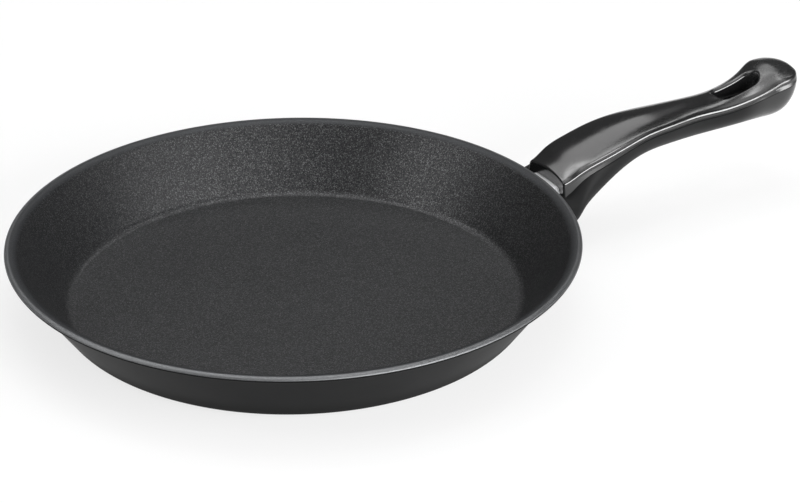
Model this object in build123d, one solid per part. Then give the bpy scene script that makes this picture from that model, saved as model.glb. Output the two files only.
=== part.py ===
"""Omelette pan: a pressed, coated pan shell with a moulded handle screwed to a bracket on its wall.

Lengths are millimetres. The origin is the centre of the base, on the table; +Z is up and the
handle points along +X. Heights of the handle are measured from the middle of the rim's edge.
"""
import math
import os
from build123d import *

# Pan shell
pan_diameter = 280.0
pan_height = 35.0
sheet = 2.7
base_corner = 8.3
wall_lean = 35.5
lip_band = 5.0
lip_bend = 4.0
groove_count = 6
groove_first = 18.0
groove_pitch = 15.0
groove_width = 2.2
groove_depth = 0.35

# Handle moulding
grip_length = 158.0
grip_half_width = 18.2
grip_rise = 30.0
front_gap = 7.0
notch_drop = 7.0
foot_clearance = 0.4
shoulder_round = 2.4
flank_lean = 0.9
foot_bulge_share = 0.5
foot_lift_share = 0.5
cap_plan_power = 2.5
cap_side_power = 1.9
cap_steps = 6

# Hanging slot
slot_length = 27.0
slot_side_cover = 12.8
slot_from_tip = 34.0
slot_edge = 1.2
slot_ledge_width = 1.5
slot_ledge_height = 14.0

# Bracket, its flanges and their studs
bracket_sheet = 1.5
bracket_side_cover = 5.6
bracket_bend = 4.0
bracket_top_drop = 4.1
bracket_reach = 25.0
bracket_leg_front = 14.0
bracket_leg_back = 4.0
flange_reach = 7.4
flange_drop = 10.15
flange_height = 8.5
coating_gap = 0.1
socket_clearance = 0.3
stud_radius = 2.0
stud_head_radius = 3.4
stud_head_height = 1.5
stud_from_leg = 3.6
stud_clearance = 0.1

# Screw, nut and washers
screw_radius = 2.5
screw_length = 10.0
screw_from_front = 6.0
screw_head_radius = 4.75
screw_head_height = 3.3
drive_width = 1.2
drive_span = 5.4
drive_depth = 1.7
thread_clearance = 0.05
hole_clearance = 0.4
nut_side = 8.0
nut_height = 4.0
nut_clearance = 0.35
clamp_thickness = 3.2
washer_radius = 5.0
washer_thickness = 1.0
spring_radius = 4.4
spring_thickness = 1.2
spring_split = 0.8
recess_clearance = 0.6

# Every cut runs past the faces that it opens by this much
overrun = 30.0

rim_radius = pan_diameter / 2
rim_plane = pan_height - sheet / 2
lean = math.radians(wall_lean)
grip_front = rim_radius + front_gap
grip_tip = rim_radius + grip_length
notch_floor = rim_plane - notch_drop
bracket_top = rim_plane - bracket_top_drop
bracket_half_width = grip_half_width - bracket_side_cover
flange_low = rim_plane - flange_drop - flange_height
flange_half_width = bracket_half_width + flange_reach
stud_side = bracket_half_width + stud_from_leg
bracket_end = grip_front + bracket_reach
screw_place = grip_front + screw_from_front
nut_top = bracket_top - bracket_sheet
clamp_top = nut_top - nut_height - nut_clearance
clamp_seat = clamp_top - clamp_thickness
slot_centre = grip_tip - slot_from_tip
slot_width = 2 * (grip_half_width - slot_side_cover)


def wall_foot():
    """Where the outer wall leaves the base's corner, worked back from the lip."""
    top_radius = rim_radius - lip_band - sheet * math.tan(lean) + sheet / math.cos(lean)
    height = base_corner * (1 - math.sin(lean))
    return top_radius - (pan_height - sheet - height) * math.tan(lean), height


def wall_radius(height, outward=0.0):
    """Radius at a height of the outer wall's cone, moved square to the wall by outward."""
    foot_radius, foot_height = wall_foot()
    return foot_radius + (height - foot_height) * math.tan(lean) + outward / math.cos(lean)


def turned(face):
    """Revolve a face drawn in the XZ plane about the pan's axis."""
    return revolve(Plane.XZ * face, Axis.Z, 360)


def in_front_of_wall(outward, low, high):
    """Solid of revolution that fills the pan's cone out to a distance from its outer wall."""
    corners = [(0, low), (wall_radius(low, outward), low), (wall_radius(high, outward), high), (0, high)]
    return turned(make_face(Polyline(*corners, close=True)))


def bar(low, high):
    """Solid box between two corners."""
    size = [high[axis] - low[axis] for axis in range(3)]
    middle = [(high[axis] + low[axis]) / 2 for axis in range(3)]
    return Pos(*middle) * Box(*size)


def upright(radius, low, high):
    """Round solid on the screw's axis between two heights."""
    return Pos(screw_place, 0, (low + high) / 2) * Cylinder(radius, high - low)


def pan_profile():
    """Half of the pan's section: an even sheet from the axis to the round edge of the lip."""
    half = sheet / 2
    normal = (math.cos(lean), -math.sin(lean))
    base_end = wall_foot()[0] - base_corner * math.cos(lean)
    crease = wall_radius(rim_plane, -half)
    bend_run = lip_bend * math.tan((math.pi / 2 - lean) / 2)
    wall_end = (crease - bend_run * math.sin(lean), rim_plane - bend_run * math.cos(lean))
    corner_radius = base_corner - half
    wall_start = (base_end + corner_radius * normal[0], base_corner + corner_radius * normal[1])

    def beside(point, side):
        return (point[0] + side * half * normal[0], point[1] + side * half * normal[1])

    lip_start = crease + bend_run
    lip_end = rim_radius - half
    outline = [
        Line((0, 0), (base_end, 0)),
        RadiusArc((base_end, 0), beside(wall_start, 1), -base_corner),
        Line(beside(wall_start, 1), beside(wall_end, 1)),
        RadiusArc(beside(wall_end, 1), (lip_start, rim_plane - half), lip_bend - half),
        Line((lip_start, rim_plane - half), (lip_end, rim_plane - half)),
        ThreePointArc((lip_end, rim_plane - half), (rim_radius, rim_plane), (lip_end, pan_height)),
        Line((lip_end, pan_height), (lip_start, pan_height)),
        RadiusArc((lip_start, pan_height), beside(wall_end, -1), -(lip_bend + half)),
        Line(beside(wall_end, -1), beside(wall_start, -1)),
        RadiusArc(beside(wall_start, -1), (base_end, sheet), base_corner - sheet),
        Line((base_end, sheet), (0, sheet)),
        Line((0, sheet), (0, 0)),
    ]
    return make_face(outline)


def pan_body():
    """Pan pressed from one disc: flat base with turned rings, leaning wall and a level lip."""
    shell = turned(pan_profile())
    for index in range(groove_count):
        middle = groove_first + index * groove_pitch
        shell -= turned(Pos(middle, 0) * Rectangle(groove_width, 2 * groove_depth))
    return shell


# Each row is one section of the handle, from the pan outwards. It holds its place as a share
# of the way from the front face to the tip; its half width as a share of grip_half_width; the
# heights of its crown, shoulder, mould joint and underside as shares of grip_rise; how far the
# foot spreads as a share of grip_half_width; and how square the underside is.
grip_section_shares = [
    (-0.200, 0.940, 0.070, 0.009, -0.250, -0.775, 1.000, 0.95),
    (-0.133, 0.942, 0.070, 0.009, -0.250, -0.775, 1.020, 0.95),
    (-0.067, 0.946, 0.072, 0.010, -0.248, -0.770, 0.880, 0.95),
    (0.000, 0.955, 0.079, 0.015, -0.235, -0.750, 0.640, 0.95),
    (0.058, 1.015, 0.235, 0.160, -0.012, -0.665, 0.340, 0.92),
    (0.138, 1.050, 0.386, 0.297, 0.166, -0.450, 0.120, 0.86),
    (0.232, 1.036, 0.518, 0.419, 0.322, -0.197, 0.008, 0.78),
    (0.338, 0.925, 0.619, 0.510, 0.423, -0.008, 0.000, 0.72),
    (0.457, 0.802, 0.652, 0.533, 0.443, 0.040, 0.000, 0.70),
    (0.576, 0.690, 0.664, 0.539, 0.448, 0.043, 0.000, 0.70),
    (0.682, 0.698, 0.667, 0.539, 0.450, 0.050, 0.000, 0.70),
    (0.788, 0.756, 0.748, 0.620, 0.529, 0.060, 0.000, 0.70),
    (0.862, 0.858, 0.887, 0.757, 0.644, 0.075, 0.000, 0.72),
    (0.907, 0.925, 0.986, 0.858, 0.714, 0.095, 0.000, 0.74),
]
cap_centre_share = 0.83
cap_lift_share = 0.05


def grip_place(share):
    return grip_front + share * (grip_tip - grip_front)


def grip_section(place, half_width, heights, spread, keel, rounding):
    """Closed section: a crown, round shoulders, flanks down to the mould joint and a bowed underside."""
    top, shoulder, joint, under = heights
    crease = half_width - flank_lean * rounding
    cut = crease - shoulder_round * rounding
    fall = (top - shoulder) / crease ** 2
    cut_height = top - fall * cut ** 2
    corner_height = cut_height - 2 * fall * cut * (crease - cut)
    flank_top = corner_height - shoulder_round * rounding
    wide = half_width + 2 * spread
    sole = keel * (half_width + spread)
    bulge = joint - (foot_bulge_share - foot_lift_share * spread / half_width) * (joint - under)
    right = [
        [(0, top), (cut / 2, top), (cut, cut_height)],
        [(cut, cut_height), (crease, corner_height), (crease, flank_top)],
        [(crease, flank_top), (half_width, joint)],
        [(half_width, joint), (wide, bulge), (sole, under), (0, under)],
    ]
    left = [[(-across, up) for across, up in reversed(points)] for points in reversed(right)]
    edges = [Bezier(*points) for points in right + left]
    return Plane(origin=(place, 0, rim_plane), x_dir=(0, 1, 0), z_dir=(1, 0, 0)) * Wire(edges)


def grip_blank():
    """Handle moulding before it is cut: lofted sections that close in a rounded end."""
    sections = []
    for place, width, *levels, spread, keel in grip_section_shares:
        heights = [level * grip_rise for level in levels]
        half_width = width * grip_half_width
        sections.append(grip_section(grip_place(place), half_width, heights, spread * grip_half_width, keel, 1))
    place, width, *levels, spread, keel = grip_section_shares[-1]
    for step in range(1, cap_steps + 1):
        along = math.sin(math.radians(82) * step / cap_steps)
        narrowing = (1 - along ** cap_plan_power) ** (1 / cap_plan_power)
        thinning = (1 - along ** cap_side_power) ** (1 / cap_side_power)
        centre = cap_centre_share + cap_lift_share * along
        heights = [(centre + (level - cap_centre_share) * thinning) * grip_rise for level in levels]
        half_width = width * grip_half_width * narrowing
        middle = grip_place(place) + along * (grip_tip - grip_place(place))
        sections.append(grip_section(middle, half_width, heights, 0, keel, thinning))
    return Solid.make_loft(sections)


def arch(half_width, top, bend, low):
    """Upright arch with two round upper corners, as a face across the handle."""
    height = top - low
    outline = Rectangle(2 * half_width, height)
    corners = outline.vertices().sort_by(Axis.Y)[-2:]
    outline = fillet(corners, bend)
    return Plane(origin=(0, 0, low + height / 2), x_dir=(0, 1, 0), z_dir=(1, 0, 0)) * outline


def bracket_channel(clearance):
    """Bent channel of the bracket, grown by a clearance on every side for its socket."""
    low = rim_plane - overrun
    back = bracket_end + clearance
    outer_arch = arch(bracket_half_width + clearance, bracket_top + clearance, bracket_bend + clearance, low)
    inner_half = bracket_half_width - bracket_sheet - clearance
    inner_top = bracket_top - bracket_sheet - clearance
    inner_arch = arch(inner_half, inner_top, bracket_bend - bracket_sheet - clearance, low)
    channel = extrude(outer_arch, back) - extrude(inner_arch, back)
    leg_low = bracket_top - bracket_leg_front - clearance
    leg_high = bracket_top - bracket_leg_back - clearance
    below = [(0, leg_low), (grip_front, leg_low), (back, leg_high), (back, low), (0, low)]
    trim = extrude(Plane.XZ * make_face(Polyline(*below, close=True)), bracket_half_width + overrun, both=True)
    return channel - trim


def flange_strip(clearance):
    """Strip out to the flanges' outer faces, filled in to the axis and grown by a clearance."""
    low = flange_low - clearance
    high = flange_low + flange_height + clearance
    side = flange_half_width + clearance
    strip = in_front_of_wall(coating_gap + bracket_sheet + clearance, low, high)
    return strip & bar((0, -side, low), (bracket_end, side, high))


def on_studs(radius, start, end):
    """Two round solids on the studs' axes, square to the wall, from start to end off the wall."""
    height = flange_low + flange_height / 2
    radius_there = wall_radius(height)
    direction = (math.cos(lean), 0, -math.sin(lean))
    plane = Plane(origin=(radius_there, 0, height), z_dir=direction)
    rod = plane * Pos(0, 0, (start + end) / 2) * Cylinder(radius, end - start)
    turn = math.degrees(math.asin(stud_side / radius_there))
    return [Rot(0, 0, side * turn) * rod for side in (-1, 1)]


def handle_bracket():
    """Stainless bracket: a bent channel that enters the handle, with two flanges on the wall."""
    leg_middle = bracket_half_width - bracket_sheet / 2
    between = bar((0, -leg_middle, 0), (bracket_end, leg_middle, pan_height))
    bracket = bracket_channel(0) + (flange_strip(0) - between)
    bracket -= in_front_of_wall(coating_gap, -overrun, pan_height + overrun)
    for hole in on_studs(stud_radius + stud_clearance, -overrun, overrun):
        bracket -= hole
    return bracket - upright(screw_radius + hole_clearance, nut_top - overrun / 2, bracket_top + overrun)


def bracket_studs():
    """Two aluminium studs welded to the wall, with their heads formed over the flanges."""
    head_start = coating_gap + bracket_sheet
    wall = in_front_of_wall(0, -overrun, pan_height + overrun)
    shanks = on_studs(stud_radius, -sheet, head_start)
    heads = on_studs(stud_head_radius, head_start, head_start + stud_head_height)
    studs = []
    for shank, head in zip(shanks, heads):
        crown = head.faces().sort_by_distance((0, 0, pan_height))[-1]
        studs.append((shank - wall) + fillet(crown.edges(), stud_head_height / 2))
    return Compound(studs)


def bracket_nut():
    """Square weld nut under the bracket's web."""
    half = nut_side / 2
    block = bar((screw_place - half, -half, nut_top - nut_height), (screw_place + half, half, nut_top))
    return block - upright(screw_radius + thread_clearance, 0, pan_height)


def flat_washer():
    return upright(washer_radius, clamp_seat - washer_thickness, clamp_seat) - upright(
        screw_radius + hole_clearance / 2, 0, pan_height
    )


def spring_washer():
    """Spring washer with its split."""
    top = clamp_seat - washer_thickness
    ring = upright(spring_radius, top - spring_thickness, top)
    ring -= upright(screw_radius + hole_clearance / 2, 0, pan_height)
    half = spring_split / 2
    return ring - bar((screw_place, -half, 0), (screw_place + overrun, half, pan_height))


def handle_screw():
    """Pan-head screw with a cross recess, head downwards."""
    head_top = clamp_seat - washer_thickness - spring_thickness
    head_low = head_top - screw_head_height
    head = upright(screw_head_radius, head_low, head_top)
    head = fillet(head.edges().sort_by(Axis.Z)[:1], screw_head_height / 2)
    screw = head + upright(screw_radius, head_top, head_top + screw_length)
    for long_side, short_side in ((drive_span, drive_width), (drive_width, drive_span)):
        corner = (screw_place - long_side / 2, -short_side / 2, head_low - overrun)
        screw -= bar(corner, (screw_place + long_side / 2, short_side / 2, head_low + drive_depth))
    return screw


def hanging_slot():
    """Cutter of the hanging slot: wide above the mould joint, narrower below it."""
    ledge = rim_plane + slot_ledge_height
    wide = Pos(slot_centre, 0, ledge) * SlotOverall(slot_length, slot_width)
    inset = 2 * slot_ledge_width
    narrow = Pos(slot_centre, 0, ledge) * SlotOverall(slot_length - inset, slot_width - inset)
    return extrude(wide, overrun) + extrude(narrow, overrun, both=True)


def room_for_pan():
    """Cutter that clears the pan's wall below the notch, and the lip and front face above it."""
    low = -overrun
    high = pan_height + overrun
    foot = [(0, low), (wall_radius(low, foot_clearance), low), (wall_radius(notch_floor, foot_clearance), notch_floor)]
    front = [(grip_front, notch_floor), (grip_front, high), (0, high)]
    return turned(make_face(Polyline(*foot, *front, close=True)))


def slot_rim(grip):
    """Edges where the hanging slot opens through the handle's crown."""
    rim = []
    for edge in grip.edges().filter_by(Axis.Z, reverse=True):
        middle = edge.center()
        in_slot = abs(middle.X - slot_centre) < slot_length / 2 and abs(middle.Y) < slot_width / 2 + slot_edge
        if in_slot and middle.Z > rim_plane + slot_ledge_height + slot_edge:
            rim.append(edge)
    return rim


def handle_grip():
    """Handle moulding: the blank cut to the pan, the bracket, the screw and the hanging slot."""
    grip = grip_blank() - hanging_slot()
    grip = fillet(slot_rim(grip), slot_edge)
    grip -= room_for_pan()
    grip -= bracket_channel(socket_clearance)
    grip -= flange_strip(socket_clearance)
    head_end = coating_gap + bracket_sheet + stud_head_height + socket_clearance
    for pocket in on_studs(stud_head_radius + socket_clearance, 0, head_end):
        grip -= pocket
    half = nut_side / 2 + nut_clearance
    grip -= bar((screw_place - half, -half, clamp_top), (screw_place + half, half, nut_top))
    grip -= upright(screw_radius + hole_clearance, clamp_seat - overrun, nut_top)
    return grip - upright(washer_radius + recess_clearance, clamp_seat - overrun, clamp_seat)


if __name__ == "__main__":
    os.makedirs("parts", exist_ok=True)
    for make in (
        pan_body,
        handle_bracket,
        bracket_studs,
        bracket_nut,
        handle_grip,
        handle_screw,
        spring_washer,
        flat_washer,
    ):
        export_step(make(), f"parts/{make.__name__}.step")
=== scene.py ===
"""Omelette pan: a pressed, coated shell, and a curved black handle screwed to a bracket on its wall.

Metres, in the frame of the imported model: origin at the centre of the base, +Z up, handle along +X.
"""
import math

import bpy
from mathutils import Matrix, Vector


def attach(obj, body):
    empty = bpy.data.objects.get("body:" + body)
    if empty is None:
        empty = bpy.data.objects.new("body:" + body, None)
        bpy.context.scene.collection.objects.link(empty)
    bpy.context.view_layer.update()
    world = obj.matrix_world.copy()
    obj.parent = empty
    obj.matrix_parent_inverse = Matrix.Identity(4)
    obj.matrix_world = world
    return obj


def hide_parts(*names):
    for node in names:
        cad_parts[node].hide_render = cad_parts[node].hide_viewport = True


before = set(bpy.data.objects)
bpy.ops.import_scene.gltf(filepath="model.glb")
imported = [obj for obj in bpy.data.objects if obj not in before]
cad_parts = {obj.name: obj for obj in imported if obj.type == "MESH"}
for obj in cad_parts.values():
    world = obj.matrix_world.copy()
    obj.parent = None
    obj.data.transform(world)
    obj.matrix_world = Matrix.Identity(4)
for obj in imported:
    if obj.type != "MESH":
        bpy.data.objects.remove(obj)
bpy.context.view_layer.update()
MM = 0.001

# Pan shell. One disc of 2.7 mm aluminium pressed to a flat base, a leaning wall and a level lip
# with a round edge. Non-stick coat with a metal fleck inside and over the lip, satin lacquer
# outside, and the base turned bare in fine rings.
RIM = 140.0
HEIGHT = 35.0
SHEET = 2.7
CORNER = 8.3
LEAN = math.radians(35.5)
LIP_BAND = 5.0
LIP_BEND = 4.0
LIP_ROUND = 2.2
LIP_MIDDLE = HEIGHT - SHEET / 2
EDGE_GUARD = 0.5
GROOVES = [18 + 15 * ring for ring in range(6)]
GROOVE_HALF, GROOVE_FLOOR, GROOVE_DEPTH = 1.1, 0.7, 0.35
SHELL_STEPS = 360
COAT, LACQUER, BARE = 0, 1, 2


class Value:
    """One socket of a finish. Arithmetic on it adds Math nodes to that finish."""

    def __init__(self, finish, socket):
        self.finish = finish
        self.socket = socket

    def math(self, operation, *numbers):
        return self.finish.node("Math", {"operation": operation}, dict(enumerate(numbers)))

    def __add__(self, other):
        return self.math("ADD", self, other)

    def __sub__(self, other):
        return self.math("SUBTRACT", self, other)

    def __rsub__(self, other):
        return self.math("SUBTRACT", other, self)

    def __mul__(self, other):
        return self.math("MULTIPLY", self, other)

    __radd__ = __add__

    def over(self, edge, width):
        """0 below the edge, 1 above it, with a soft step of that width."""
        return self.finish.node(
            "MapRange",
            {"interpolation_type": "SMOOTHSTEP"},
            {"Value": self, "From Min": edge - width / 2, "From Max": edge + width / 2},
        )


class Finish:
    """A procedural material around one Principled shader."""

    def __init__(self, name, colour=None, **fixed):
        self.material = bpy.data.materials.new(name)
        self.material.use_nodes = True
        self.tree = self.material.node_tree
        self.shader = self.tree.nodes["Principled BSDF"]
        if colour:
            self.shader.inputs["Base Color"].default_value = (*colour, 1)
            self.material.diffuse_color = (*colour, 1)
        for name, value in fixed.items():
            self.shader.inputs[name.replace("_", " ").title().replace("Ior", "IOR")].default_value = value

    def node(self, kind, settings=None, sockets=None, out=0):
        """Any node: its settings are set first, then its sockets' values or links."""
        made = self.tree.nodes.new("ShaderNode" + kind)
        for name, value in (settings or {}).items():
            setattr(made, name, value)
        for name, value in (sockets or {}).items():
            if isinstance(value, Value):
                self.tree.links.new(value.socket, made.inputs[name])
            elif isinstance(value, tuple) and len(made.inputs[name].default_value) == 4:
                made.inputs[name].default_value = (*value, 1)
            else:
                made.inputs[name].default_value = value
        return Value(self, made.outputs[out])

    def place(self):
        """Place on the piece, in metres."""
        return self.node("TexCoord", out="Object")

    def axes(self, where):
        """The x, y and z of a place."""
        return [self.node("SeparateXYZ", None, {0: where}, axis) for axis in range(3)]

    def from_axis(self, x, y):
        """Distance from the pan's axis."""
        level = self.node("CombineXYZ", None, {0: x, 1: y})
        return self.node("VectorMath", {"operation": "LENGTH"}, {0: level}, "Value")

    def noise(self, where, scale, detail):
        return self.node("TexNoise", None, {"Vector": where, "Scale": scale, "Detail": detail})

    def drawn_noise(self, where, scales, detail):
        """Noise with its own scale along each axis, so that it is drawn out along the low ones."""
        stretched = self.node("VectorMath", {"operation": "MULTIPLY"}, {0: where, 1: scales})
        return self.noise(stretched, 1.0, detail)

    def blend(self, factor, first, second):
        """Colour between two colours, which the mix node takes in its inputs 6 and 7."""
        sockets = {"Factor": factor, 6: first, 7: second}
        return self.node("Mix", {"data_type": "RGBA"}, sockets, 2)

    def feed(self, **sockets):
        """Link varying values to the shader."""
        for name, value in sockets.items():
            self.tree.links.new(value.socket, self.shader.inputs[name.replace("_", " ")])

    def bump(self, height, strength, distance):
        sockets = {"Strength": strength, "Distance": distance, "Height": height}
        self.feed(Normal=self.node("Bump", None, sockets))


def make_piece(name, points, faces, materials, face_materials=None, sharp=32):
    """Mesh piece from points in millimetres, shaded smooth except over sharp edges."""
    mesh = bpy.data.meshes.new(name)
    mesh.from_pydata([[axis * MM for axis in point] for point in points], [], faces)
    for material in materials:
        mesh.materials.append(material)
    if face_materials:
        mesh.polygons.foreach_set("material_index", face_materials)
    mesh.validate()
    mesh.shade_smooth()
    mesh.set_sharp_from_angle(angle=math.radians(sharp))
    piece = bpy.data.objects.new(name, mesh)
    bpy.context.scene.collection.objects.link(piece)
    return piece


def wall_foot():
    """Radius and height at which the outer corner turns into the leaning wall."""
    top = RIM - LIP_BAND - SHEET * math.tan(LEAN) + SHEET / math.cos(LEAN)
    height = CORNER * (1 - math.sin(LEAN))
    return top - (HEIGHT - SHEET - height) * math.tan(LEAN), height


def wall_radius(height, outward=0.0):
    """Radius of the outer wall's cone at a height, moved out square to the wall."""
    radius, foot = wall_foot()
    return radius + (height - foot) * math.tan(LEAN) + outward / math.cos(LEAN)


def arc(centre, radius, start, end, steps):
    """Points on an arc between two angles in degrees."""
    angles = [math.radians(start + (end - start) * step / steps) for step in range(steps + 1)]
    return [(centre[0] + radius * math.cos(turn), centre[1] + radius * math.sin(turn)) for turn in angles]


def shell_section():
    """Section of the shell, from the base's centre out, over the lip and back in, with its finishes."""
    half = SHEET / 2
    base_end = wall_foot()[0] - CORNER * math.cos(LEAN)
    lean = math.degrees(LEAN)
    crease = wall_radius(LIP_MIDDLE, -half)
    run = LIP_BEND * math.tan((math.pi / 2 - LEAN) / 2)
    bend_centre = (crease + run, LIP_MIDDLE - LIP_BEND)
    edge_centre = (RIM - half, LIP_MIDDLE)
    under = [(0.0, 0.0)]
    for place in GROOVES:
        under += [(place - GROOVE_HALF, 0), (place - GROOVE_FLOOR, GROOVE_DEPTH)]
        under += [(place + GROOVE_FLOOR, GROOVE_DEPTH), (place + GROOVE_HALF, 0)]
    under.append((base_end - 2 * EDGE_GUARD, 0))
    outside = arc((base_end, CORNER), CORNER, -90, -lean, 14)
    outside += arc(bend_centre, LIP_BEND - half, 180 - lean, 90, 8)
    outside += [(RIM - half - EDGE_GUARD, LIP_MIDDLE - half)]
    edge = arc(edge_centre, half, -90, 0, 8)
    over_edge = arc(edge_centre, half, 0, 90, 12)[1:]
    inside = [(RIM + (radius - RIM) * LIP_ROUND / half, up) for radius, up in over_edge]
    inside += arc(bend_centre, LIP_BEND + half, 90, 180 - lean, 12)
    inside += arc((base_end, CORNER), CORNER - SHEET, -lean, -90, 14)
    inside += [(base_end * share, SHEET) for share in (0.98, 0.8, 0.5, 0.25)] + [(0.0, SHEET)]
    finishes = [BARE] * len(under) + [LACQUER] * (len(outside) + len(edge)) + [COAT] * len(inside)
    return under + outside + edge + inside, finishes[:-1]


def turn_section(section, finishes, steps):
    """Points and faces of a section turned about the pan's axis; its two ends lie on the axis."""
    ring = section[1:-1]
    points = [(0, 0, section[0][1]), (0, 0, section[-1][1])]
    for step in range(steps):
        turn = 2 * math.pi * step / steps
        points += [(radius * math.cos(turn), radius * math.sin(turn), up) for radius, up in ring]
    faces = []
    kinds = []
    for step in range(steps):
        here = 2 + step * len(ring)
        there = 2 + (step + 1) % steps * len(ring)
        faces.append((0, there, here))
        kinds.append(finishes[0])
        for row in range(len(ring) - 1):
            faces.append((here + row, there + row, there + row + 1, here + row + 1))
            kinds.append(finishes[row + 1])
        faces.append((here + len(ring) - 1, there + len(ring) - 1, 1))
        kinds.append(finishes[-1])
    return points, faces, kinds


def inner_coat():
    """Dark grey non-stick coat: metal flecks under a satin film, with faint rubbed arcs."""
    coat = Finish("pan_coat", specular_ior_level=0.5)
    where = coat.place()
    x, y, z = coat.axes(where)
    cells = coat.node("TexVoronoi", None, {"Vector": where, "Scale": 2700.0}, "Color")
    fleck = coat.node("SeparateColor", None, {0: cells})
    bright = fleck.over(0.86, 0.3)
    mottle = coat.noise(where, 1300.0, 3.0)
    cloud = coat.noise(where, 28.0, 4.0)
    radius = coat.from_axis(x, y)
    swept = coat.node("CombineXYZ", None, {0: radius * 900, 1: x * 9, 2: y * 9})
    rubbed = coat.noise(swept, 1.0, 3.0)
    marks = rubbed.over(0.66, 0.1) * cloud.over(0.5, 0.3)
    grey = coat.blend(cloud, (0.01, 0.0104, 0.0112), (0.014, 0.0145, 0.0155))
    grey = coat.blend(mottle.over(0.5, 0.2) * 0.35, grey, (0.07, 0.071, 0.074))
    grey = coat.blend(bright * 0.42, grey, (0.3, 0.3, 0.305))
    lip = z.over(0.0336, 0.0014) * (0.7 + mottle * 0.6)
    grey = coat.blend(lip * 0.8, grey, (0.036, 0.038, 0.041))
    edge = radius.over(0.1379, 0.001)
    coat.feed(Base_Color=coat.blend(edge * (0.5 + mottle * 0.5), grey, (0.22, 0.224, 0.23)))
    coat.feed(Roughness=0.36 + cloud * 0.1 - bright * 0.08 - marks * 0.06 + lip * 0.06)
    coat.feed(Metallic=0.5 + bright * 0.4 + edge * 0.4)
    coat.bump(mottle + bright * 0.5, 0.5, 0.00015)
    return coat.material


def outer_lacquer():
    """Satin dark grey lacquer, a little orange-peeled, dulled low on the wall by the hob."""
    lacquer = Finish("wall_lacquer", specular_ior_level=0.035)
    where = lacquer.place()
    peel = lacquer.noise(where, 420.0, 2.0)
    cloud = lacquer.noise(where, 35.0, 4.0)
    low = 1 - lacquer.axes(where)[2].over(0.007, 0.011)
    grey = lacquer.blend(cloud, (0.0065, 0.0067, 0.007), (0.0095, 0.0097, 0.01))
    grey = lacquer.blend(low * cloud * 0.5, grey, (0.024, 0.0235, 0.023))
    lacquer.feed(Base_Color=grey)
    lacquer.feed(Roughness=0.36 + cloud * 0.12 + low * 0.14)
    lacquer.bump(peel, 0.1, 0.00015)
    return lacquer.material


def turned_base():
    """Bare aluminium, faced on a lathe, with grey wear where it stands on the hob."""
    base = Finish("turned_base", specular_ior_level=0.5)
    where = base.place()
    radius = base.from_axis(*base.axes(where)[:2])
    rings = base.noise(base.node("CombineXYZ", None, {0: radius * 2600}), 1.0, 2.0)
    wear = base.noise(where, 60.0, 6.0)
    scratch = base.drawn_noise(where, (60.0, 1500.0, 60.0), 2.0)
    grey = base.blend(rings, (0.42, 0.42, 0.43), (0.6, 0.6, 0.61))
    grey = base.blend(wear.over(0.54, 0.4) * 0.3, grey, (0.24, 0.235, 0.23))
    base.feed(Base_Color=grey)
    base.feed(Roughness=0.3 + wear * 0.2 + scratch.over(0.68, 0.1) * 0.1)
    base.feed(Metallic=1 - wear.over(0.6, 0.4) * 0.12)
    base.bump(rings + scratch * 0.4, 0.25, 0.0001)
    return base.material


section, finishes = shell_section()
points, faces, kinds = turn_section(section, finishes, SHELL_STEPS)
pan_shell = make_piece("pan_shell", points, faces, [inner_coat(), outer_lacquer(), turned_base()], kinds)
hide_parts("pan_body")
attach(pan_shell, "root")

# Studs, bracket and weld nut. Two aluminium studs stand on the wall under the handle, and their
# ends are formed over the flanges of a satin stainless channel. The nut is welded under its web.


def plain_metal(name, dark, pale, rough, grain):
    """Bare metal with fine draw marks along X and a soft cloud of handling wear."""
    metal = Finish(name, metallic=1.0)
    where = metal.place()
    lines = metal.drawn_noise(where, (90.0, 2600.0, 2600.0), 3.0)
    cloud = metal.noise(where, 160.0, 4.0)
    metal.feed(Base_Color=metal.blend(lines * 0.6 + cloud * 0.4, dark, pale))
    metal.feed(Roughness=rough + cloud * 0.1 + lines * grain * 0.1)
    metal.bump(lines, grain * 0.2, 0.00004)
    return metal.material


def refinish(node, material):
    """Give a CAD piece its own material."""
    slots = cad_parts[node].data.materials
    slots.clear()
    slots.append(material)


bracket_metal = plain_metal("satin_stainless", (0.92, 0.92, 0.93), (0.97, 0.97, 0.98), 0.48, 0.6)
stud_metal = plain_metal("plain_aluminium", (0.5, 0.5, 0.51), (0.68, 0.68, 0.69), 0.34, 1.0)
zinc = plain_metal("zinc_plate", (0.42, 0.43, 0.45), (0.62, 0.62, 0.62), 0.26, 0.7)
refinish("handle_bracket", bracket_metal)
refinish("bracket_studs", stud_metal)
for node in ("bracket_nut", "handle_screw", "spring_washer", "flat_washer"):
    refinish(node, zinc)

# Handle. One black phenolic moulding. Its crown is polished, its flanks are satin below a crisp
# shoulder, and under the mould joint it has a fine grain. The foot spreads to follow the wall.
GRIP_FRONT = 147.0
GRIP_TIP = 298.0
CAP_END = 297.86
HALF_WIDTH = 18.2
RISE = 30.0
SHOULDER = 2.4
FLANK_LEAN = 0.9
NOTCH = LIP_MIDDLE - 7.0
FOOT_GAP = 0.4
CAP_PLAN, CAP_SIDE = 2.5, 1.9
JOINT_DEPTH = 0.4
CAP_CENTRE, CAP_LIFT = 0.83, 0.05
CAP_TURNS = (13.67, 27.33, 41, 54.67, 68.33, 77, 82, 86, 88.5)
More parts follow.
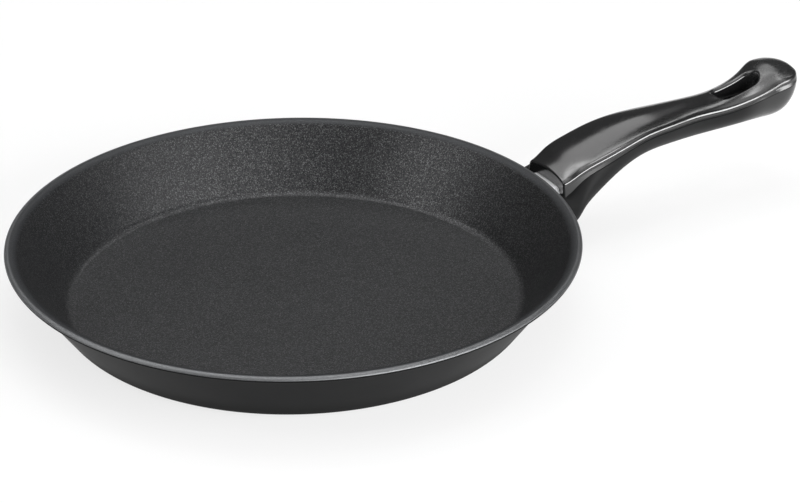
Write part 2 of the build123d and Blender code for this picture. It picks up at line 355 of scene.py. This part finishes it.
# Each section: place along the grip, half width, crown, shoulder, mould joint, underside, the
# foot's spread and the underside's squareness. Heights are shares of RISE above the lip's middle,
# and widths are shares of HALF_WIDTH.
SECTION_SHARES = [
    (-0.200, 0.940, 0.070, 0.009, -0.250, -0.775, 1.000, 0.95),
    (-0.133, 0.942, 0.070, 0.009, -0.250, -0.775, 1.020, 0.95),
    (-0.067, 0.946, 0.072, 0.010, -0.248, -0.770, 0.880, 0.95),
    (0.000, 0.955, 0.079, 0.015, -0.235, -0.750, 0.640, 0.95),
    (0.058, 1.015, 0.235, 0.160, -0.012, -0.665, 0.340, 0.92),
    (0.138, 1.050, 0.386, 0.297, 0.166, -0.450, 0.120, 0.86),
    (0.232, 1.036, 0.518, 0.419, 0.322, -0.197, 0.008, 0.78),
    (0.338, 0.925, 0.619, 0.510, 0.423, -0.008, 0.000, 0.72),
    (0.457, 0.802, 0.652, 0.533, 0.443, 0.040, 0.000, 0.70),
    (0.576, 0.690, 0.664, 0.539, 0.448, 0.043, 0.000, 0.70),
    (0.682, 0.698, 0.667, 0.539, 0.450, 0.050, 0.000, 0.70),
    (0.788, 0.756, 0.748, 0.620, 0.529, 0.060, 0.000, 0.70),
    (0.862, 0.858, 0.887, 0.757, 0.644, 0.075, 0.000, 0.72),
    (0.907, 0.925, 0.986, 0.858, 0.714, 0.095, 0.000, 0.74),
]


def grip_stations():
    """Sections as place, half width, four heights, spread, squareness and rounding, in millimetres."""
    length = GRIP_TIP - GRIP_FRONT
    rows = []
    for share, width, *levels, spread, keel in SECTION_SHARES:
        place, half = GRIP_FRONT + share * length, width * HALF_WIDTH
        heights = [LIP_MIDDLE + level * RISE for level in levels]
        rows.append([place, half, *heights, spread * HALF_WIDTH, keel, 1.0])
    share, width, *levels, spread, keel = SECTION_SHARES[-1]
    start = GRIP_FRONT + share * length
    for turn in CAP_TURNS:
        along = math.sin(math.radians(turn))
        narrow = (1 - along**CAP_PLAN) ** (1 / CAP_PLAN)
        thin = (1 - along**CAP_SIDE) ** (1 / CAP_SIDE)
        centre = CAP_CENTRE + CAP_LIFT * along
        place, half = start + along * (CAP_END - start), width * HALF_WIDTH * narrow
        heights = [LIP_MIDDLE + (centre + (level - CAP_CENTRE) * thin) * RISE for level in levels]
        rows.append([place, half, *heights, 0.0, keel, thin])
    return rows


class Smooth:
    """Natural cubic curve through rows of values, by distance between their places and widths."""

    def __init__(self, rows):
        self.rows = rows
        self.knots = [0.0]
        for here, there in zip(rows, rows[1:]):
            step = math.dist([here[0], here[1], here[3]], [there[0], there[1], there[3]])
            self.knots.append(self.knots[-1] + step)
        self.bends = [self.solve([row[column] for row in rows]) for column in range(len(rows[0]))]

    def solve(self, values):
        """Second differences of one column, by the usual sweep down and back."""
        count = len(values)
        gaps = [after - before for before, after in zip(self.knots, self.knots[1:])]
        upper = [0.0] * count
        right = [0.0] * count
        for row in range(1, count - 1):
            before, after = gaps[row - 1], gaps[row]
            jump = (values[row + 1] - values[row]) / after - (values[row] - values[row - 1]) / before
            pivot = 2 * (before + after) - before * upper[row - 1]
            upper[row] = after / pivot
            right[row] = (6 * jump - before * right[row - 1]) / pivot
        bends = [0.0] * count
        for row in range(count - 2, 0, -1):
            bends[row] = right[row] - upper[row] * bends[row + 1]
        return bends

    def at(self, place):
        """All columns at a distance along the curve."""
        row = 0
        while row < len(self.knots) - 2 and place > self.knots[row + 1]:
            row += 1
        start, end = self.knots[row], self.knots[row + 1]
        gap = end - start
        late = (place - start) / gap
        early = 1 - late
        found = []
        for column, bends in enumerate(self.bends):
            value = early * self.rows[row][column] + late * self.rows[row + 1][column]
            curve = (early**3 - early) * bends[row] + (late**3 - late) * bends[row + 1]
            found.append(value + curve * gap * gap / 6)
        return found


grip_line = Smooth(grip_stations())
JOINT_LIP = 0.24
CROWN_STEPS, SHOULDER_STEPS, FLANK_STEPS, UNDER_STEPS = 14, 9, 5, 26


def bezier(points, share):
    """Point at a share of a Bezier curve."""
    points = [tuple(point) for point in points]
    while len(points) > 1:
        pairs = zip(points, points[1:])
        points = [tuple(a + (b - a) * share for a, b in zip(here, there)) for here, there in pairs]
    return points[0]


def section_corners(values):
    """Shapes of half a section: crown, shoulder, flank and underside, as in the CAD source."""
    place, half, top, shoulder, joint, under, spread, keel, rounding = values
    crease = half - FLANK_LEAN * rounding
    cut = crease - SHOULDER * rounding
    fall = (top - shoulder) / crease**2
    cut_height = top - fall * cut**2
    corner = cut_height - 2 * fall * cut * (crease - cut)
    flank_top = corner - SHOULDER * rounding
    bulge = joint - (0.5 - 0.5 * spread / half) * (joint - under)
    crown = [(0, top), (cut / 2, top), (cut, cut_height)]
    round_over = [(cut, cut_height), (crease, corner), (crease, flank_top)]
    flank = [(crease, flank_top), (half, joint)]
    below = [(half, joint), (half + 2 * spread, bulge), (keel * (half + spread), under), (0, under)]
    return crown, round_over, flank, below


def upper_half(values):
    """Points of the upper half, from the crown's middle out to the mould joint's groove."""
    crown, round_over, flank, below = section_corners(values)
    size = values[8]
    line = [bezier(crown, step / CROWN_STEPS) for step in range(CROWN_STEPS)]
    line += [bezier(round_over, step / SHOULDER_STEPS) for step in range(SHOULDER_STEPS)]
    half, joint = flank[-1]
    lip = (half - 0.03, joint + JOINT_LIP * size)
    line += [bezier([flank[0], lip], step / FLANK_STEPS) for step in range(FLANK_STEPS + 1)]
    return line + [(half - JOINT_DEPTH * size, joint)]


def lower_half(values):
    """Points of the lower half, from the mould joint's groove in to the middle of the underside."""
    crown, round_over, flank, below = section_corners(values)
    half, joint = flank[-1]
    lip = (JOINT_LIP + 0.02) * values[8]
    first = lip / (3 * math.dist(below[0], below[1]))
    shares = [first] + [step / UNDER_STEPS for step in range(1, UNDER_STEPS + 1)]
    return [(half - JOINT_DEPTH * values[8], joint)] + [bezier(below, share) for share in shares]


def at_place(place):
    """Section values at a distance from the pan's axis."""
    low, high = 0.0, grip_line.knots[-1]
    for turn in range(24):
        middle = (low + high) / 2
        low, high = (middle, high) if grip_line.at(middle)[0] < place else (low, middle)
    return grip_line.at((low + high) / 2)


def crown_height(place, across):
    """Height of the crown at a distance from the pan's axis and from the handle's middle."""
    crown, round_over, flank, below = section_corners(at_place(place))
    return crown[0][1] - (crown[0][1] - crown[2][1]) * (across / crown[2][0]) ** 2


def underside_height(place, across):
    """Height of the underside at a distance from the pan's axis and from the handle's middle."""
    below = section_corners(at_place(place))[3]
    low, high = 0.3, 1.0
    for turn in range(20):
        middle = (low + high) / 2
        low, high = (middle, high) if bezier(below, middle)[0] > abs(across) else (low, middle)
    return bezier(below, low)[1]


class Skin:
    """Points and faces gathered for one mesh, with a finish for each face."""

    def __init__(self):
        self.points = []
        self.faces = []
        self.finishes = []

    def grid(self, rows, finish=0, closed=False, without=()):
        """Quads between rows of points, leaving out blocks given as first row, last row, columns."""
        start = len(self.points)
        wide = len(rows[0])
        for row in rows:
            self.points += row
        for row in range(len(rows) - 1):
            for column in range(wide if closed else wide - 1):
                if any(a <= row < b and c <= column < d for a, b, c, d in without):
                    continue
                here = start + row * wide + column
                beside = start + row * wide + (column + 1) % wide
                self.faces.append((here, beside, beside + wide, here + wide))
                self.finishes.append(finish[column] if isinstance(finish, list) else finish)

    def fan(self, loop, tip, finish=0):
        """Triangles from a loop of points to one point."""
        start = len(self.points)
        self.points += loop + [tip]
        for corner in range(len(loop)):
            self.faces.append((start + corner, start + (corner + 1) % len(loop), start + len(loop)))
            self.finishes.append(finish)


def block_loop(rows, block):
    """Points round the edge of a block of a grid."""
    first, last, left, right = block
    loop = [rows[first][column] for column in range(left, right)]
    loop += [rows[row][right] for row in range(first, last)]
    loop += [rows[last][column] for column in range(right, left, -1)]
    return loop + [rows[row][left] for row in range(last, first, -1)]


def block_near(rows, middle, reach, columns):
    """Block of a grid on both sides of its middle column, with the rows within a reach of a place."""
    centre = len(rows[0]) // 2
    near = [row for row, points in enumerate(rows) if abs(points[centre][0] - middle) < reach]
    return near[0], near[-1], centre - columns, centre + columns


def sunk_opening(loop, middle, reach, height, edge, rim, steps, ramp=0.0):
    """Rows from a loop on the skin in to an opening's round rim, then down by (distance, level) steps.

    The opening lies all round a short straight line. Its end near the pan slopes by the ramp.
    """
    spokes = []
    for x, y, z in loop:
        along = middle + max(-reach, min(reach, x - middle))
        out = math.hypot(x - along, y)
        spokes.append((along, (x - along) / out, y / out, out))

    def at(spoke, distance, shift=0.0):
        along, ahead, across, out = spoke
        nearness = (middle + reach - along) / (2 * reach) if reach else 0.0
        return along + shift * nearness + ahead * distance, across * distance

    rows = [loop]
    for share in (0.3, 0.6, 0.85, 1.0):
        places = [at(spoke, spoke[3] + (edge + rim - spoke[3]) * share) for spoke in spokes]
        rows.append([(x, y, height(x, y)) for x, y in places])
    skin = [point[2] for point in rows[-1]]
    for turn in range(15, 91, 15):
        drop = rim * (1 - math.cos(math.radians(turn)))
        places = [at(spoke, edge + rim * (1 - math.sin(math.radians(turn)))) for spoke in spokes]
        drops = [drop if steps[-1][1] > level else -drop for level in skin]
        rows.append([(x, y, level + down) for (x, y), level, down in zip(places, skin, drops)])
    start = [point[2] for point in rows[-1]]
    for distance, level in steps:
        row = []
        for spoke, above in zip(spokes, start):
            deep = min(1.0, abs(above - level) / abs(above - steps[-1][1]))
            row.append((*at(spoke, distance, ramp * deep), level))
        rows.append(row)
    return rows


GLOSS, GRAINED, SATIN = 0, 1, 2
UPPER_START, LOWER_START = 150.0, 143.5
RING_STEP = 0.75
FRONT_ROUND = 1.3


def front_rows():
    """Rounded front edge of the upper half, from the front face out to the first whole ring."""
    count = CROWN_STEPS + SHOULDER_STEPS + FLANK_STEPS + 2
    turns = [share / 8 for share in range(8, -1, -1)]
    blend = [step / 6 for step in range(1, 6)]
    rows = [[] for turn in turns + blend]
    for column in range(count):
        place = GRIP_FRONT
        for turn in range(5):
            across, up = upper_half(at_place(place))[column]
            place = math.sqrt(GRIP_FRONT**2 - across**2)
        edge = Vector((place, across, up))
        # The last column lies in the mould joint's groove, so the edge leans as on the flank there.
        sample = min(column, count - 3)
        here = Vector((place, *upper_half(at_place(place))[sample]))
        ahead = Vector((place + 1, *upper_half(at_place(place + 1))[sample])) - here
        beside = Vector((place, *upper_half(at_place(place))[sample + 1])) - here
        outward = beside.cross(ahead).normalized()
        outward = outward if outward.dot((0, max(across, 0.01), 3)) > 0 else -outward
        inward = Vector((-place, -across, 0)).normalized()
        angle = outward.angle(inward)
        along = (-inward - outward * (-inward).dot(outward)).normalized()
        start = edge + along * FRONT_ROUND * math.tan(angle / 2)
        centre = start - outward * FRONT_ROUND
        for row, share in zip(rows, turns):
            row.append(tuple(centre + FRONT_ROUND * outward.slerp(inward, share)))
        for row, share in zip(rows[len(turns):], blend):
            place = start.x + (UPPER_START - start.x) * share
            row.append((place, *upper_half(at_place(place))[column]))
    return rows


def mirrored(row):
    """A row from its right half, which starts in the middle."""
    return [(x, -y, z) for x, y, z in reversed(row[1:])] + row


def resampled(line, lengths, share):
    """Point at a share of a line's length."""
    target = share * lengths[-1]
    step = 1
    while step < len(lengths) - 1 and lengths[step] < target:
        step += 1
    late = (target - lengths[step - 1]) / (lengths[step] - lengths[step - 1])
    return tuple(a + (b - a) * late for a, b in zip(line[step - 1], line[step]))


def running_lengths(line):
    """Length of a line up to each of its points."""
    lengths = [0.0]
    for here, there in zip(line, line[1:]):
        lengths.append(lengths[-1] + math.dist(here, there))
    return lengths


SOCKET_HALF, SOCKET_TOP, SOCKET_BEND, SOCKET_DEPTH = 12.9, LIP_MIDDLE - 3.8, 4.3, 4


def socket_arch():
    """Half of the bracket's opening in the front face, from the middle of its top down to the notch."""
    bend_centre = (SOCKET_HALF - SOCKET_BEND, SOCKET_TOP - SOCKET_BEND)
    return [(0, SOCKET_TOP)] + arc(bend_centre, SOCKET_BEND, 90, 15, 10)


def front_face(outline):
    """Front face, from the inner edge of the rounded outline to the bracket's opening and into it."""
    arch = socket_arch()
    lengths, arch_lengths = running_lengths(outline), running_lengths(arch)
    opening = []
    for length in lengths:
        across, up = resampled(arch, arch_lengths, length / lengths[-1])
        opening.append((math.sqrt(GRIP_FRONT**2 - across**2), across, up))
    rows = [outline]
    for share in (0.35, 0.7):
        pairs = zip(outline, opening)
        row = [tuple(a + (b - a) * share for a, b in zip(out, inner)) for out, inner in pairs]
        rows.append([(math.sqrt(GRIP_FRONT**2 - y**2), y, z) for x, y, z in row])
    return rows + [opening], [opening, [(x + SOCKET_DEPTH, y, z) for x, y, z in opening]]


FOOT_GUESS = 133.0


def foot_rows():
    """Front of the lower half, from the wall's cone out to the first whole ring."""
    count = UNDER_STEPS + 2
    shares = [step / 18 for step in range(18)]
    rows = [[] for share in shares]
    for column in range(count):
        start = FOOT_GUESS
        for turn in range(8):
            across, up = lower_half(at_place(start))[column]
            start = math.sqrt(wall_radius(up, FOOT_GAP) ** 2 - across**2)
        for row, share in zip(rows, shares):
            place = start + (LOWER_START - start) * share
            row.append((place, *lower_half(at_place(place))[column]))
    return rows


NOTCH_HALF, NOTCH_OVERLAP = 16.4, 0.5


def notch_rows():
    """Floor of the notch under the pan's lip, between the wall and the front face."""
    rows = []
    inner, outer = wall_radius(NOTCH, FOOT_GAP), GRIP_FRONT + NOTCH_OVERLAP
    for step in range(9):
        radius = inner + (outer - inner) * step / 8
        values = at_place(math.sqrt(radius**2 - NOTCH_HALF**2))
        half, joint = values[1], values[4]
        # Level nearly to its side, then over a small round down to the mould joint.
        line = [(half * share / 8, NOTCH) for share in range(8)]
        line += [(half - 0.9, NOTCH), (half - 0.5, NOTCH - 0.05), (half - JOINT_DEPTH, NOTCH - 0.15)]
        line.append((half - JOINT_DEPTH, joint))
        rows.append([(math.sqrt(radius**2 - across**2), across, up) for across, up in line])
    return rows


SLOT_MIDDLE, SLOT_RADIUS, SLOT_REACH, SLOT_ROUND = 264, 5.4, 8.1, 1.9
SLOT_LEDGE, SLOT_RAMP, OUTLET_ROUND = 1.5, 3.5, 0.8
LEDGE = LIP_MIDDLE + 14
SLOT_BLOCK, OUTLET_BLOCK, WELL_BLOCK = (16.4, 13), (14.6, 9), (8.2, 4)


def slot_steps():
    """Wall of the slot from its mouth down to the ledge, over it and on down."""
    wall = [(SLOT_RADIUS, LEDGE + rise) for rise in (3.5, 2, 0.3)]
    ledge = ((0.1, 0.1), (0.3, 0), (1.2, 0), (1.43, -0.07))
    wall += [(SLOT_RADIUS - step, LEDGE + rise) for step, rise in ledge]
    return wall + [(SLOT_RADIUS - SLOT_LEDGE, LEDGE - depth) for depth in (0.25, 2.5, 5, 7)]


def add_top(skin, front, rings):
    """Crown, shoulder, flanks and slot. Returns the last ring and the slot's last row."""
    upper = [mirrored(row) for row in front]
    for values in rings:
        if values[0] > UPPER_START:
            upper.append(mirrored([(values[0], *point) for point in upper_half(values)]))
    block = block_near(upper, SLOT_MIDDLE, *SLOT_BLOCK)
    flank = [SATIN] * (FLANK_STEPS + 1)
    crown = [GLOSS] * (len(upper[0]) - 1 - 2 * len(flank))
    skin.grid(upper, flank + crown + flank, without=[block])
    mouth = (SLOT_MIDDLE, SLOT_REACH, crown_height, SLOT_RADIUS, SLOT_ROUND)
    slot = sunk_opening(block_loop(upper, block), *mouth, slot_steps(), SLOT_RAMP)
    skin.grid(slot, GLOSS, closed=True)
    return upper[-1], slot[-1]


def add_front(skin, outline):
    """Front face, the bracket's opening and the notch's floor. Returns the floor's row at the wall."""
    face, socket = front_face(outline)
    skin.grid([mirrored(row) for row in face], GLOSS)
    skin.grid([mirrored(row) for row in socket], GRAINED)
    notch = [mirrored(row) for row in notch_rows()]
    skin.grid(notch, GRAINED)
    return notch[0]


def both_sides(row):
    """A row of the lower half from its right side, which ends in the middle."""
    return row + [(x, -y, z) for x, y, z in reversed(row[:-1])]


SCREW_PLACE, WELL_RADIUS, HOLE_RADIUS, CHAMFER = 153, 5.6, 2.9, 0.2
SEAT = LIP_MIDDLE - 13.15


def add_underside(skin, rings, slot_end):
    """Lower half, the slot's outlet and the screw's well. Returns the first row and the last."""
    lower = [both_sides(row) for row in foot_rows()]
    for values in rings:
        lower.append(both_sides([(values[0], *point) for point in lower_half(values)]))
    slot_block = block_near(lower, SLOT_MIDDLE, *OUTLET_BLOCK)
    screw_block = block_near(lower, SCREW_PLACE, *WELL_BLOCK)
    skin.grid(lower, GRAINED, without=[slot_block, screw_block])

    inner = SLOT_RADIUS - SLOT_LEDGE
    up_to_slot = [(inner, slot_end - depth) for depth in (2, 1, 0)]
    mouth = (SLOT_MIDDLE, SLOT_REACH, underside_height, inner, OUTLET_ROUND)
    outlet = sunk_opening(block_loop(lower, slot_block), *mouth, up_to_slot, SLOT_RAMP)
    skin.grid(outlet, GRAINED, closed=True)

    bore = [(WELL_RADIUS, SEAT - 4.5), (WELL_RADIUS, SEAT - CHAMFER), (WELL_RADIUS - CHAMFER, SEAT)]
    bore += [(HOLE_RADIUS + CHAMFER, SEAT), (HOLE_RADIUS, SEAT + CHAMFER), (HOLE_RADIUS, SEAT + 3.2)]
    mouth = (SCREW_PLACE, 0.0, underside_height, WELL_RADIUS, 0.5)
    skin.grid(sunk_opening(block_loop(lower, screw_block), *mouth, bore), GRAINED, closed=True)
    return lower[0], lower[-1]


FOOT_MIDDLE, FOOT_DEPTH = 19, 4


def add_foot_back(skin, rim):
    """Back of the foot: a rim along the wall's cone round a shallow recess."""
    inner, deep = [], []
    for x, y, z in rim:
        y, z = y * 0.86, FOOT_MIDDLE + (z - FOOT_MIDDLE) * 0.8
        inner.append((math.sqrt(wall_radius(z, FOOT_GAP) ** 2 - y**2), y, z))
        deep.append((math.sqrt(wall_radius(z, FOOT_GAP + FOOT_DEPTH) ** 2 - y**2), y, z))
    skin.grid([rim, inner, deep], GRAINED, closed=True)
    skin.fan(deep, (wall_radius(FOOT_MIDDLE, FOOT_GAP + FOOT_DEPTH), 0, FOOT_MIDDLE), GRAINED)


def build_handle():
    """Skin of the whole moulding."""
    skin = Skin()
    spots = []
    start = grip_line.knots[-1]
    while grip_line.at(start)[0] > LOWER_START:
        spots.append(start)
        start -= RING_STEP
    rings = [grip_line.at(spot) for spot in reversed(spots)]
    front = front_rows()
    top_end, slot_row = add_top(skin, front, rings)
    notch_row = add_front(skin, front[0])
    foot_row, under_end = add_underside(skin, rings, slot_row[0][2])
    tip = (CAP_END, 0, top_end[len(top_end) // 2][2] - 0.3)
    skin.fan(top_end, tip, GLOSS)
    skin.fan(under_end, tip, GRAINED)
    add_foot_back(skin, foot_row + notch_row[::-1][1:-1])
    return skin


def phenolic(name, rough, grain, shine):
    """Black phenolic: deep gloss off the polished mould, satin, or a fine spark-eroded grain."""
    black = Finish(name, specular_ior_level=shine, ior=1.55, coat_roughness=0.22, coat_ior=1.55)
    where = black.place()
    x = black.axes(where)[0]
    cloud = black.noise(where, 45.0, 4.0)
    fine = black.noise(where, 1900.0, 2.0)
    marks = black.drawn_noise(where, (60.0, 420.0, 420.0), 3.0).over(0.62, 0.12)
    black.feed(Base_Color=black.blend(cloud, (0.007, 0.0072, 0.0074), (0.012, 0.0122, 0.0125)))
    near_pan = 1 - x.over(0.19, 0.04)
    shaft = 1 - x.over(0.235, 0.05)
    tip = x.over(0.268, 0.02)
    worn = cloud * 0.05 + marks * 0.05 + tip * 0.09
    black.feed(Roughness=rough + worn + (near_pan * 0.1 + shaft * 0.08) * grain)
    black.feed(Coat_Weight=tip * grain)
    black.bump(fine * (0.15 + near_pan * 0.85) * grain + marks * 0.05, 0.35, 0.00012)
    return black.material


handle_skin = build_handle()
gloss = phenolic("phenolic_gloss", 0.13, 0.0, 0.9)
grained = phenolic("phenolic_grained", 0.36, 1.0, 0.14)
satin = phenolic("phenolic_satin", 0.32, 0.8, 0.55)
blacks = [gloss, grained, satin]
handle = make_piece("handle_moulding", handle_skin.points, handle_skin.faces, blacks, handle_skin.finishes)
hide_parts("handle_grip")
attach(handle, "root")

# Floor. A white studio table, a little below the base so that their faces don't coincide. For the
# camera and in reflections, three quarters of its tone is plain white, and the rest keeps the pan's
# soft shadow.
FLOOR_RINGS = [0.0, 100, 200, 350, 600, 1000, 2000, 4000, 7000]
FLOOR_TURNS = 64
FLOOR_DROP = 0.2
FLOOR_GLOW = 0.75


def white_table():
    """Matt white sheet with a faint cloud in its tone."""
    table = Finish("white_table", (0.9, 0.9, 0.9), roughness=0.7, specular_ior_level=0.2)
    tone = table.noise(table.place(), 6.0, 3.0)
    table.feed(Base_Color=table.blend(tone, (0.89, 0.89, 0.89), (0.91, 0.91, 0.91)))
    table.feed(Roughness=0.66 + tone * 0.08)
    seen = table.node("LightPath", out="Is Camera Ray")
    for ray in ("Is Glossy Ray", "Is Transmission Ray"):
        seen = seen.math("MAXIMUM", seen, table.node("LightPath", out=ray))
    shine = table.tree.nodes.new("ShaderNodeEmission")
    mixer = table.tree.nodes.new("ShaderNodeMixShader")
    table.tree.links.new((seen * FLOOR_GLOW).socket, mixer.inputs[0])
    table.tree.links.new(table.shader.outputs[0], mixer.inputs[1])
    table.tree.links.new(shine.outputs[0], mixer.inputs[2])
    table.tree.links.new(mixer.outputs[0], table.tree.nodes["Material Output"].inputs[0])
    return table.material


floor_points = []
for radius in FLOOR_RINGS:
    for turn in range(FLOOR_TURNS):
        angle = 2 * math.pi * turn / FLOOR_TURNS
        floor_points.append((radius * math.cos(angle), radius * math.sin(angle), -FLOOR_DROP))
floor_faces = []
for ring in range(len(FLOOR_RINGS) - 1):
    for turn in range(FLOOR_TURNS):
        here = ring * FLOOR_TURNS + turn
        there = ring * FLOOR_TURNS + (turn + 1) % FLOOR_TURNS
        floor_faces.append((here, here + FLOOR_TURNS, there + FLOOR_TURNS, there))
floor = make_piece("table", floor_points, floor_faces, [white_table()])

# Lights and camera. Six soft boxes round the handle give it the light bands of the photograph,
# and a pale patch of ceiling fills the space between them. Directions are given as azimuth, from
# the photograph's right towards its back, and elevation.
CAMERA = Vector((-0.5714, -1.0714, 0.64995))
SIGHT = Vector((0.4514, 0.7663, -0.4571))
RIGHT = Vector((0.8616, -0.5075, 0))
AWAY = Vector((0.5075, 0.8616, 0))
BOX_DISTANCE = 1.6
HANDLE_MIDDLE = Vector((0.2, 0, 0.05))


def toward(azimuth, elevation):
    """Direction out of the scene at an azimuth and an elevation in degrees."""
    turn, rise = math.radians(azimuth), math.radians(elevation)
    level = RIGHT * math.cos(turn) + AWAY * math.sin(turn)
    return level * math.cos(rise) + Vector((0, 0, math.sin(rise)))


def softbox(name, azimuth, elevation, size, radiance):
    """Rectangular lamp that faces the handle and looks that bright from it."""
    lamp = bpy.data.lights.new(name, "AREA")
    lamp.shape = "RECTANGLE"
    lamp.size, lamp.size_y = size
    lamp.energy = radiance * math.pi * size[0] * size[1]
    box = bpy.data.objects.new(name, lamp)
    direction = toward(azimuth, elevation)
    box.location = HANDLE_MIDDLE + direction * BOX_DISTANCE
    box.rotation_euler = direction.to_track_quat("Z", "Y").to_euler()
    bpy.context.scene.collection.objects.link(box)


softbox("back_box", 128, 52, (2.24, 0.65), 1.65)
softbox("top_strip", 95, 66, (2.6, 0.15), 4.0)
softbox("right_strip", -45, 21, (2.1, 0.52), 11.0)
softbox("left_box", 200, 34, (0.8, 0.6), 3.0)
softbox("tip_box", 164, 74, (0.6, 0.42), 1.7)
softbox("zenith_box", 70, 82, (0.5, 0.3), 5.0)

world = bpy.data.worlds.new("room")
world.use_nodes = True
room = world.node_tree
where = room.nodes.new("ShaderNodeTexCoord")
facing = room.nodes.new("ShaderNodeVectorMath")
facing.operation = "DOT_PRODUCT"
facing.inputs[1].default_value = toward(-45, 72)
level = room.nodes.new("ShaderNodeMapRange")
level.interpolation_type = "SMOOTHSTEP"
for name, value in (("From Min", 0.84), ("From Max", 0.95), ("To Min", 0.09), ("To Max", 1.2)):
    level.inputs[name].default_value = value
room.links.new(where.outputs["Generated"], facing.inputs[0])
room.links.new(facing.outputs["Value"], level.inputs["Value"])
room.links.new(level.outputs["Result"], room.nodes["Background"].inputs["Strength"])
room.nodes["Background"].inputs["Color"].default_value = (1, 1, 1, 1)
bpy.context.scene.world = world
bpy.context.scene.view_settings.view_transform = "Standard"

lens = bpy.data.cameras.new("photo_camera")
lens.lens = 126.0
lens.sensor_width = 36.0
lens.sensor_fit = "HORIZONTAL"
camera = bpy.data.objects.new("photo_camera", lens)
camera.location = CAMERA
camera.rotation_euler = SIGHT.to_track_quat("-Z", "Y").to_euler()
bpy.context.scene.collection.objects.link(camera)
bpy.context.scene.camera = camera
